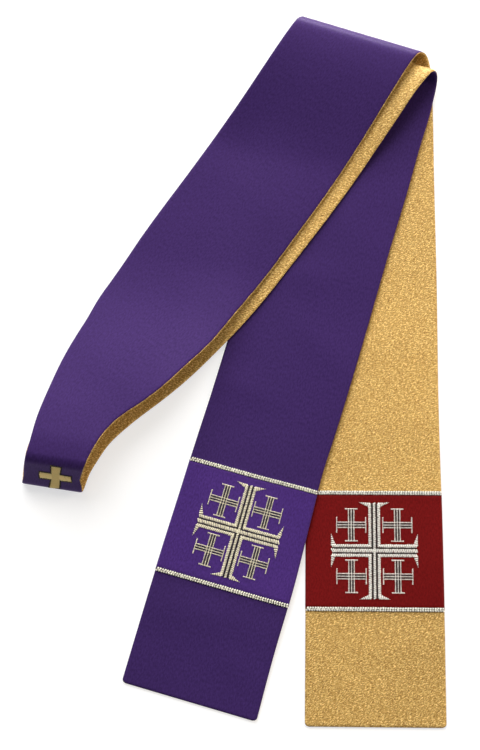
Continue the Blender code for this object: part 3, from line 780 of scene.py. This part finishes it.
def noise(tree, where, scale, detail, roughness, distortion=0.0):
    node = add_node(tree, "ShaderNodeTexNoise", {"noise_dimensions": "3D"}, Vector=where, Scale=scale,
                    Detail=detail, Roughness=roughness, Distortion=distortion)
    return node.outputs[0]


def stretched_out(tree, value, low=NOISE_LOW, high=NOISE_HIGH):
    """0 up to low, 1 from high, and even between them."""
    node = add_node(tree, "ShaderNodeMapRange", Value=value, _1=low, _2=high, _3=0.0, _4=1.0)
    return node.outputs[0]


clouding, given, result = new_tree(
    "clouding", "ShaderNodeTree",
    (("Vector", "Vector", None), ("Per metre", "Float", 9.0)),
    (("Cloud", "Float", None),))
broad = noise(clouding, given["Vector"], given["Per metre"], detail=2.0, roughness=0.5)
clouding.links.new(stretched_out(clouding, broad), result["Cloud"])
print("clouding has", len(clouding.nodes), "nodes")

# %% The fine weave
weave, given, result = new_tree(
    "fine weave", "ShaderNodeTree",
    (("Vector", "Vector", None), ("Threads per metre", "Float", 900.0), ("Float", "Float", 3.0)),
    (("Height", "Float", None), ("Grain", "Float", None)))
parts = add_node(weave, "ShaderNodeSeparateXYZ", Vector=given["Vector"]).outputs
floated = maths(weave, "DIVIDE", parts[1], given["Float"])
drawn_out = add_node(weave, "ShaderNodeCombineXYZ", X=parts[0], Y=floated, Z=parts[2])
threads = noise(weave, drawn_out.outputs[0], given["Threads per metre"], detail=1.0, roughness=0.6)
weave.links.new(threads, result["Height"])
weave.links.new(stretched_out(weave, threads), result["Grain"])
print("the fine weave has", len(weave.nodes), "nodes")

# %% The glitter of metal threads
SPARK_EDGE = 0.1        # a spark comes up from nothing in this much of the noise
glitter, given, result = new_tree(
    "glitter", "ShaderNodeTree",
    (("Vector", "Vector", None), ("Per metre", "Float", 900.0), ("Stretch", "Float", 2.0),
     ("Slope", "Float", 0.0), ("Rarity", "Float", 0.62)),
    (("Spark", "Float", None), ("Height", "Float", None)))
parts = add_node(glitter, "ShaderNodeSeparateXYZ", Vector=given["Vector"]).outputs
narrower = maths(glitter, "DIVIDE", parts[0], given["Stretch"])
across_rise = maths(glitter, "MULTIPLY", parts[0], given["Slope"])
straightened = maths(glitter, "SUBTRACT", parts[1], across_rise)
flattened = add_node(glitter, "ShaderNodeCombineXYZ", X=narrower, Y=straightened, Z=parts[2])
dashes = noise(glitter, flattened.outputs[0], given["Per metre"], detail=3.0, roughness=0.7,
               distortion=0.6)
fuller = maths(glitter, "ADD", given["Rarity"], SPARK_EDGE)
glitter.links.new(stretched_out(glitter, dashes, given["Rarity"], fuller), result["Spark"])
glitter.links.new(dashes, result["Height"])
print("three shared effects are ready")

# %% Starting a material, and mixing colours in it
def new_material(name, **values):
    """A material, its nodes and its shader; the values are even all over the surface."""
    material = bpy.data.materials.new(name)
    material.use_nodes = True
    shader = material.node_tree.nodes["Principled BSDF"]
    for title, value in values.items():
        shader.inputs[title.replace("_", " ")].default_value = value
    return material, material.node_tree, shader


def group_node(tree, group, **sockets):
    return add_node(tree, "ShaderNodeGroup", {"node_tree": group}, **sockets).outputs


def cloth_map(tree):
    return add_node(tree, "ShaderNodeUVMap", {"uv_map": "cloth"}).outputs[0]


def mix_colours(tree, factor, first, second, blend="MIX"):
    node = add_node(tree, "ShaderNodeMix", {"data_type": "RGBA", "blend_type": blend},
                    _0=factor, _6=first, _7=second)
    return node.outputs[2]


def bump(tree, shader, height, depth):
    node = add_node(tree, "ShaderNodeBump", Height=height, Distance=depth, Strength=1.0)
    tree.links.new(node.outputs[0], shader.inputs["Normal"])


def grey(value):
    return (value, value, value, 1)


# %% [markdown]
# Satin floats long threads over its face, so it shows no grid.  Two stretched noises stand for
# them: short slubs that vary the colour, and long fine floats that roughen the surface.  Bare
# gloss would make it plastic, so its sheen is a tinted fuzz that lights up toward the edges.

# %% Satin, in three colours
SATIN_DEPTH = 0.00006


def satin(name, dark, light, gleam, clouds):
    material, tree, shader = new_material(
        name, Roughness=0.43, Metallic=0.0, Sheen_Weight=0.30, Sheen_Tint=gleam,
        Sheen_Roughness=0.40, Specular_IOR_Level=0.10, Specular_Tint=gleam)
    where = cloth_map(tree)
    cloud = group_node(tree, clouding, Vector=where, Per_metre=clouds)
    slubs = group_node(tree, weave, Vector=where, Threads_per_metre=700.0, Float=2.2)
    floats = group_node(tree, weave, Vector=where, Threads_per_metre=1900.0, Float=9.0)
    base = mix_colours(tree, cloud["Cloud"], dark, light)
    tones = mix_colours(tree, slubs["Grain"], grey(0.80), grey(1.20))
    flecked = mix_colours(tree, 1.0, base, tones, "MULTIPLY")
    tree.links.new(flecked, shader.inputs["Base Color"])
    bump(tree, shader, floats["Height"], SATIN_DEPTH)
    return material


LILAC, ROSE = (0.62, 0.34, 1.0, 1), (1.0, 0.25, 0.22, 1)
SATINS = (
    # name, darkest, lightest, gleam, clouds per metre
    ("purple satin", (0.0325, 0.0150, 0.0815, 1), (0.0370, 0.0170, 0.0915, 1), LILAC, 9.0),
    ("violet satin", (0.0485, 0.0200, 0.133, 1), (0.0560, 0.0230, 0.148, 1), LILAC, 14.0),
    ("red satin", (0.120, 0.0048, 0.0052, 1), (0.138, 0.0057, 0.0061, 1), ROSE, 12.0),
)
purple_satin, violet_satin, red_satin = [satin(*row) for row in SATINS]
print("made", purple_satin.name, violet_satin.name, red_satin.name)

# %% [markdown]
# Lame is woven with flat strips of metal that lie at all angles.  To model each one would take
# millions of faces, so the glitter is used twice: once for the bright strips, whose glints are painted
# into the base colour, and once for the dark gaps between them, both on the slope of the twill.

# %% Gold lame
LAME_SLOPE, LAME_DEPTH = 0.45, 0.0008


def lame(name, dark, mid, bright):
    material, tree, shader = new_material(
        name, Roughness=0.52, Metallic=0.15, Specular_IOR_Level=0.25)
    where = cloth_map(tree)
    sparks = group_node(tree, glitter, Vector=where, Per_metre=1050.0, Stretch=2.2,
                        Slope=LAME_SLOPE, Rarity=0.51)
    gaps = group_node(tree, glitter, Vector=where, Per_metre=950.0, Stretch=1.8,
                      Slope=LAME_SLOPE, Rarity=0.50)
    cloud = group_node(tree, clouding, Vector=where, Per_metre=7.0)
    base = mix_colours(tree, gaps["Spark"], mid, dark)
    tones = mix_colours(tree, cloud["Cloud"], grey(0.93), grey(1.07))
    clouded = mix_colours(tree, 1.0, base, tones, "MULTIPLY")
    # Painted glints: where the sparks come up, the base colour turns to the bright gold.
    lit = mix_colours(tree, sparks["Spark"], clouded, bright)
    tree.links.new(lit, shader.inputs["Base Color"])
    bump(tree, shader, sparks["Height"], LAME_DEPTH)
    return material


gold_lame = lame("gold lame", (0.205, 0.104, 0.018, 1), (0.470, 0.272, 0.064, 1),
                 (0.96, 0.68, 0.25, 1))
print("made", gold_lame.name)

# %% [markdown]
# Metal thread is a thin strip wound on a core.  The thread tree has already given each stitch a
# tone of its own, so one material serves bright and dark stitches alike: it reads that tone.

# %% Metal thread, bright or dark by its tone
THREAD_DEPTH = 0.00015
WOUND_SHADE = 0.90          # the darker turns of the winding


def metal_thread(name, bright, dark, metallic=0.10):
    material, tree, shader = new_material(
        name, Roughness=0.42, Metallic=metallic, Specular_IOR_Level=0.12)
    where = add_node(tree, "ShaderNodeTexCoord").outputs["Object"]
    tone = add_node(tree, "ShaderNodeAttribute", {"attribute_name": "tone"}).outputs["Fac"]
    # Painted glints and shade: the winding's sparks take the full bright colour, and the rest a painted
    # shade of it.
    wound = group_node(tree, glitter, Vector=where, Per_metre=1500.0, Stretch=1.0, Rarity=0.52)
    shaded = tuple(part * WOUND_SHADE for part in bright[:3]) + (1,)
    varied = mix_colours(tree, wound["Spark"], shaded, bright)
    tree.links.new(mix_colours(tree, tone, dark, varied), shader.inputs["Base Color"])
    bump(tree, shader, wound["Height"], THREAD_DEPTH)
    return material


silver_thread = metal_thread("silver thread", (1.0, 0.97, 0.90, 1), (0.008, 0.006, 0.006, 1))
gold_thread = metal_thread("pale gold thread", (0.95, 0.88, 0.66, 1), (0.008, 0.005, 0.012, 1))
silver_braid = metal_thread("silver braid", (1.0, 0.97, 0.87, 1), (0.012, 0.010, 0.010, 1))
gold_braid = metal_thread("pale gold braid", (1.0, 0.96, 0.80, 1), (0.012, 0.010, 0.012, 1))
print("made", silver_thread.name, gold_thread.name, silver_braid.name, gold_braid.name)

# %% [markdown]
# ## Jerusalem crosses
# One large cross with four small ones between its arms is a very old device.  Each arm of the
# large cross is a middle bar between two outer bars; the outer bars turn the corner into the next
# arm and end in a spike.  The small crosses are three fine lines each way, closed by a line across
# each tip.  Everything is satin stitch: threads laid side by side across the bar, over a padding
# of duller thread that fills the gaps, with lines of dark thread between the bright bars.
# A raised shape in one piece would be simpler, but it is the separate threads that catch the light.

# %% Guides for the large cross, in millimetres from its middle
def mm(*values):
    return tuple(value / 1000.0 for value in values)


def bar(x0, y0, x1, y1, half0, half1, slant=18.0):
    """A guide from one point to another, with half its width at each."""
    return [mm(x0, y0, half0) + (slant,), mm(x1, y1, half1) + (slant,)]


UPRIGHT_REACH, CROSSBAR_REACH = 46.9, 41.2
UPRIGHT_HALF, CROSSBAR_HALF, UPRIGHT_SLANT = 1.25, 1.8, 24.0
QUARTER = (
    # from x and y, to x and y, half widths, slant: two outer bars and the spikes at their ends
    (4.4, 4.7, 4.4, 46.6, 1.45, 1.45, 24.0),
    (4.4, 4.7, 41.0, 4.7, 1.55, 1.55, -24.0),
    (5.0, 45.6, 14.3, 47.9, 2.2, 0.15, 0.0),
    (40.2, 5.6, 42.2, 15.8, 2.1, 0.15, 0.0),
)
DARK_FROM, DARK_UP, DARK_OUT = 2.4, 46.6, 40.6      # where the dark lines start and end
DARK_X, DARK_Y = 2.1, 2.5                           # how far they lie from the middle bars
DARK_UP_HALF, DARK_OUT_HALF = 0.95, 0.75
DARK_UP_SLANT, DARK_OUT_SLANT = 25.0, 20.0
EACH_WAY = (-1, 1)

large_bright = [
    bar(0, -UPRIGHT_REACH, 0, UPRIGHT_REACH, UPRIGHT_HALF, UPRIGHT_HALF, UPRIGHT_SLANT),
    bar(-CROSSBAR_REACH, 0, CROSSBAR_REACH, 0, CROSSBAR_HALF, CROSSBAR_HALF)]
for right in EACH_WAY:
    for high in EACH_WAY:
        for x0, y0, x1, y1, half0, half1, slope in QUARTER:
            large_bright.append(bar(x0 * right, y0 * high, x1 * right, y1 * high, half0, half1,
                                    slope * right * high))
large_dark = [bar(x, DARK_FROM * way, x, DARK_UP * way, DARK_UP_HALF, DARK_UP_HALF,
                  DARK_UP_SLANT * way)
              for x in (-DARK_X, DARK_X) for way in EACH_WAY]
large_dark += [bar(DARK_FROM * way, y, DARK_OUT * way, y, DARK_OUT_HALF, DARK_OUT_HALF,
                   DARK_OUT_SLANT)
               for y in (-DARK_Y, DARK_Y) for way in EACH_WAY]
print(len(large_bright), "bright bars and", len(large_dark), "dark lines in a large cross")

# %% Guides for a small cross
SMALL_UP, SMALL_OUT = 15.8, 14.0        # reach of the bright lines
LINE, LINE_HALF = 2.6, 0.52             # from line to line, and half a line's width
TOP_TIP = (5.6, 16.0, 0.62)             # half its length, how far out it is, half its width
SIDE_TIP = (7.4, 14.2, 0.55)
DARK_LINES = (-LINE / 2.0, LINE / 2.0)
DARK_TALL, DARK_TALL_HALF = 15.2, 0.80                  # the upright dark lines' reach
DARK_START, DARK_END, DARK_WIDE_HALF = 3.3, 13.6, 0.76  # the level ones, clear of the uprights

small_bright = []
for line in (-LINE, 0.0, LINE):
    small_bright += [bar(line, -SMALL_UP, line, SMALL_UP, LINE_HALF, LINE_HALF),
                     bar(-SMALL_OUT, line, SMALL_OUT, line, LINE_HALF, LINE_HALF)]
for way in EACH_WAY:
    reach, out, half = TOP_TIP
    small_bright.append(bar(-reach, out * way, reach, out * way, half, half))
    reach, out, half = SIDE_TIP
    small_bright.append(bar(out * way, -reach, out * way, reach, half, half))
small_dark = [bar(line, -DARK_TALL, line, DARK_TALL, DARK_TALL_HALF, DARK_TALL_HALF, 0.0)
              for line in DARK_LINES]
small_dark += [bar(DARK_START * way, line, DARK_END * way, line, DARK_WIDE_HALF, DARK_WIDE_HALF, 0.0)
               for line in DARK_LINES for way in EACH_WAY]
print(len(small_bright), "bright lines and", len(small_dark), "dark lines in a small cross")

# %% Stitching the crosses
SMALL_X, SMALL_Y = 0.0226, 0.0255       # from the large cross's middle to a small one's
ON_BAND = FACE_HEIGHT + BAND_LIFT
CORNERS = (
    ("upper_left", -1, 1),
    ("upper_right", 1, 1),
    ("lower_left", -1, -1),
    ("lower_right", 1, -1),
)


def jerusalem_cross(word, half, trims, side, material, seed):
    centre = half.length - (trims[0] + trims[1]) / 2.0
    meshes = [lay_threads(large_bright, material, "satin stitch", seed),
              lay_threads(large_bright, material, "padding", seed + 9),
              lay_threads(large_dark, material, "dark line", seed + 1)]
    made = [sew_on(word + "_cross_stitched", meshes, half, centre, side, ON_BAND)]
    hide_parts(word + "_cross")
    for corner, x, y in CORNERS:
        meshes = [lay_threads(small_bright, material, "fine stitch", seed + 3 + x + 2 * y),
                  lay_threads(small_dark, material, "fine dark line", seed + 1)]
        piece = sew_on(word + "_cross_stitched_" + corner, meshes, half, centre, side, ON_BAND,
                       (x * SMALL_X, y * SMALL_Y))
        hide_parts(word + "_cross_" + corner)
        made.append(piece)
    return made


over_crosses = jerusalem_cross("over", over_half, OVER_TRIMS, -1.0, silver_thread, 11)
under_crosses = jerusalem_cross("under", under_half, UNDER_TRIMS, 1.0, gold_thread, 31)

# %% [markdown]
# ## The cross at the neck
# A small plain cross marks the middle of the stole, so that it is put on even.  It is close satin
# stitch in a deeper gold, flared toward its tips, with a line of dark thread round it.  It is made
# with the same tree as the others, only with a finer pitch.

# %% Guides for the neck cross, in millimetres from its middle
NECK_SLANT, RIM_HALF = 8.0, 0.7
NECK_UPRIGHT = ((-16.0, 4.7), (-4.0, 4.1), (4.0, 4.1), (15.3, 4.8))     # y, half width
ARM_FROM, ARM_TO = (4.2, 4.1), (15.4, 3.9)                              # x, half width
NECK_OUTLINE = (
    (-5.2, -16.4), (-4.7, -5.0), (-15.9, -4.8), (-15.9, 4.8), (-4.7, 5.0), (-5.3, 15.9),
    (5.3, 15.9), (4.7, 5.0), (15.9, 4.8), (15.9, -4.8), (4.7, -5.0), (5.2, -16.4),
)
neck_bright = [
    [mm(0, y, half) + (NECK_SLANT,) for y, half in NECK_UPRIGHT],
    bar(-ARM_TO[0], 0, -ARM_FROM[0], 0, ARM_TO[1], ARM_FROM[1], NECK_SLANT),
    bar(ARM_FROM[0], 0, ARM_TO[0], 0, ARM_FROM[1], ARM_TO[1], NECK_SLANT)]
neck_dark = [bar(*start, *end, RIM_HALF, RIM_HALF, 0.0)
             for start, end in zip(NECK_OUTLINE, NECK_OUTLINE[1:] + NECK_OUTLINE[:1])]
print(len(neck_dark), "dark lines round the neck cross")

# %% Stitching the neck cross
NECK_SHIFT, NECK_TURN = 0.0031, math.radians(0.5)
old_gold_thread = metal_thread("old gold thread", (1.0, 0.80, 0.37, 1), (0.010, 0.005, 0.012, 1),
                               metallic=0.12)
neck_meshes = [lay_threads(neck_bright, old_gold_thread, "close stitch", 5),
               lay_threads(neck_dark, old_gold_thread, "dark rim", 6)]
neck_cross = sew_on("neck_cross_stitched", neck_meshes, under_half, 0.0, 1.0, FACE_HEIGHT,
                    (NECK_SHIFT, 0.0), NECK_TURN)
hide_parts("neck_cross")

# %% [markdown]
# ## Braid
# The bands are edged with a narrow plaited braid of metal thread.  Two rows of short slanted
# strands that meet in the middle make the plait, over near-black threads that are painted shade
# for its middle and its gaps.  A few dark flecks on top, painted shade where a plait opens, break up
# the rhythm.  A true plait hides most of its own thread, so only the strands that show are laid.

# %% Plaiting the trims
BRAID_INSET = 0.0013                        # a braid stops this far in from the edge
STRAND_HALF, STRAND_SLANT = 0.0010, 32.0    # half a strand's length, and its slant
ROW_OUT, STAGGER = 0.00088, 0.0012          # the rows' distance out, and one row's late start
# Painted shade in near-black thread: lines under the plait that darken its middle and gaps, and flecks
# on top.
SHADE_HALF, SHADE_OUT = 0.0011, 0.0008
FLECK_HALF = 0.0005
ON_FACE = FACE_HEIGHT + 0.0006


def straight(start, end, y, half, slope=0.0):
    return [(start, y, half, slope), (end, y, half, slope)]


def braid(word, level, half, distance, side, material, seed):
    centre = half.length - distance
    reach = float(half.width(centre)) / 2.0 - BRAID_INSET
    rows = [straight(-reach, reach, -ROW_OUT, STRAND_HALF, STRAND_SLANT),
            straight(-reach + STAGGER, reach, ROW_OUT, STRAND_HALF, -STRAND_SLANT)]
    # Near-black threads laid as painted shade: a line under each row of the plait, and flecks where it
    # opens.
    shade_guides = [straight(-reach, reach, y, SHADE_HALF) for y in (-SHADE_OUT, SHADE_OUT)]
    shade_flecks = [straight(-reach, reach, 0.0, FLECK_HALF)]
    meshes = [lay_threads(rows, material, "plait", seed),
              lay_threads(shade_guides, material, "painted shade", seed + 1),
              lay_threads(shade_flecks, material, "shade fleck", seed + 2)]
    piece = sew_on(word + "_braid_" + level, meshes, half, centre, side, ON_FACE)
    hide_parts(word + "_trim_" + level)
    return piece


def two_braids(word, half, trims, side, material, seed):
    return [braid(word, level, half, distance, side, material, seed + i)
            for i, (level, distance) in enumerate(zip(("low", "high"), trims))]


over_braids = two_braids("over", over_half, OVER_TRIMS, -1.0, silver_braid, 50)
under_braids = two_braids("under", under_half, UNDER_TRIMS, 1.0, gold_braid, 60)

# %% [markdown]
# ## Putting it on the frame
# Every piece rides on the one body, stands for its solids and takes its finish.  The two
# faces and the two bands are sheets of cloth, and the cut gives the area of one face.

# %% Dressing the pieces
STRETCHES = ("neck", "over_upper", "over_fold", "over_lower", "under_upper", "under_fold", "under_lower")
FINISHES = (
    ([purple_face], purple_satin, "purple_satin"),
    ([gold_face], gold_lame, "gold_lame"),
    ([red_band], red_satin, "red_band"),
    ([violet_band], violet_satin, "violet_band"),
    (over_crosses, silver_thread, "silver_thread"),
    (under_crosses, gold_thread, "gold_thread"),
    ([neck_cross], old_gold_thread, "gold_thread"),
    (over_braids, silver_braid, "silver_braid"),
    (under_braids, gold_braid, "gold_braid"),
)
for pieces, material, slot in FINISHES:
    for piece in pieces:
        piece.data.materials.clear()
        piece.data.materials.append(material)
        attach(piece, "root")
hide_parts(*[stretch + "_purple" for stretch in STRETCHES])
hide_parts(*[stretch + "_gold" for stretch in STRETCHES])
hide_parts("over_band")
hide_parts("under_band")
print(sum(len(pieces) for pieces, _, _ in FINISHES), "pieces ride on the stole")

# %% The area of one face
AREA_POINTS = 400


def cut_area(half):
    along = np.linspace(0.0, 1.0, AREA_POINTS) * half.length
    return float(np.mean(half.width(along)) * half.length)


FACE_AREA = cut_area(over_half) + cut_area(under_half)
print("one face is", round(FACE_AREA, 4), "square metres")

# %% [markdown]
# ## Floor, light and camera
# The stole lies on a pale table.  One large soft light stands behind it to the left, so the fold
# catches it and the face of the neck stays dark.  A weak warm one from the right reaches
# under the neck loop, and a small low one behind grazes the crest of the folds.  The table glows a
# little, which keeps its shadows pale.  The camera stands in front and looks down steeply.

# %% The table
TABLE_HALF, TABLE_LEVEL = 6.0, -0.0002
corners = [(x * TABLE_HALF, y * TABLE_HALF, TABLE_LEVEL)
           for x, y in ((-1, -1), (1, -1), (1, 1), (-1, 1))]
table_mesh = bpy.data.meshes.new("table_top")
table_mesh.from_pydata(corners, [], [(0, 1, 2, 3)])
table_white = new_material(
    "table white", Roughness=0.9, Metallic=0.0, Specular_IOR_Level=0.1,
    Base_Color=grey(0.46), Emission_Color=grey(1.0), Emission_Strength=0.60)[0]
table_mesh.materials.append(table_white)
new_piece("table_top", table_mesh)

# %% The lights
WARM = (1.0, 0.86, 0.68)


def soft_light(name, place, aim, size, power, colour=(1.0, 1.0, 1.0)):
    light = bpy.data.lights.new(name, "AREA")
    light.shape = "SQUARE"
    light.size = size
    light.energy = power
    light.color = colour
    lamp = bpy.data.objects.new(name, light)
    lamp.location = place
    lamp.rotation_euler = (Vector(aim) - Vector(place)).to_track_quat("-Z", "Y").to_euler()
    bpy.context.scene.collection.objects.link(lamp)
    print("the", name, "light gives", power, "watts")


soft_light("window", (-0.8, 2.25, 2.0), (0, 0.1, 0), 2.8, 139.0)
soft_light("fill", (2.6, 0.5, 1.1), (0, 0, 0), 1.5, 44.0, WARM)
soft_light("rim", (0.3, 2.4, 0.32), (0.1, 0.3, 0.02), 0.8, 68.0)
world = bpy.data.worlds.new("pale room")
world.use_nodes = True
world.node_tree.nodes["Background"].inputs["Color"].default_value = grey(1.0)
world.node_tree.nodes["Background"].inputs["Strength"].default_value = 0.26
bpy.context.scene.world = world
bpy.context.scene.view_settings.view_transform = "Standard"

# %% The camera
LOOK_DOWN, DISTANCE = math.radians(75.0), 1.90
camera_data = bpy.data.cameras.new("camera")
camera_data.sensor_width = 36.0
camera_data.lens = 90.6
camera = bpy.data.objects.new("camera", camera_data)
bpy.context.scene.collection.objects.link(camera)
aim = Vector((float(PLACE[0]), float(PLACE[1]), 0.0))
camera.location = aim + DISTANCE * Vector((0.0, -math.cos(LOOK_DOWN), math.sin(LOOK_DOWN)))
camera.rotation_euler = (aim - camera.location).to_track_quat("-Z", "Y").to_euler()
bpy.context.scene.camera = camera
print("the camera stands", DISTANCE, "m away and looks down", math.degrees(LOOK_DOWN), "degrees")
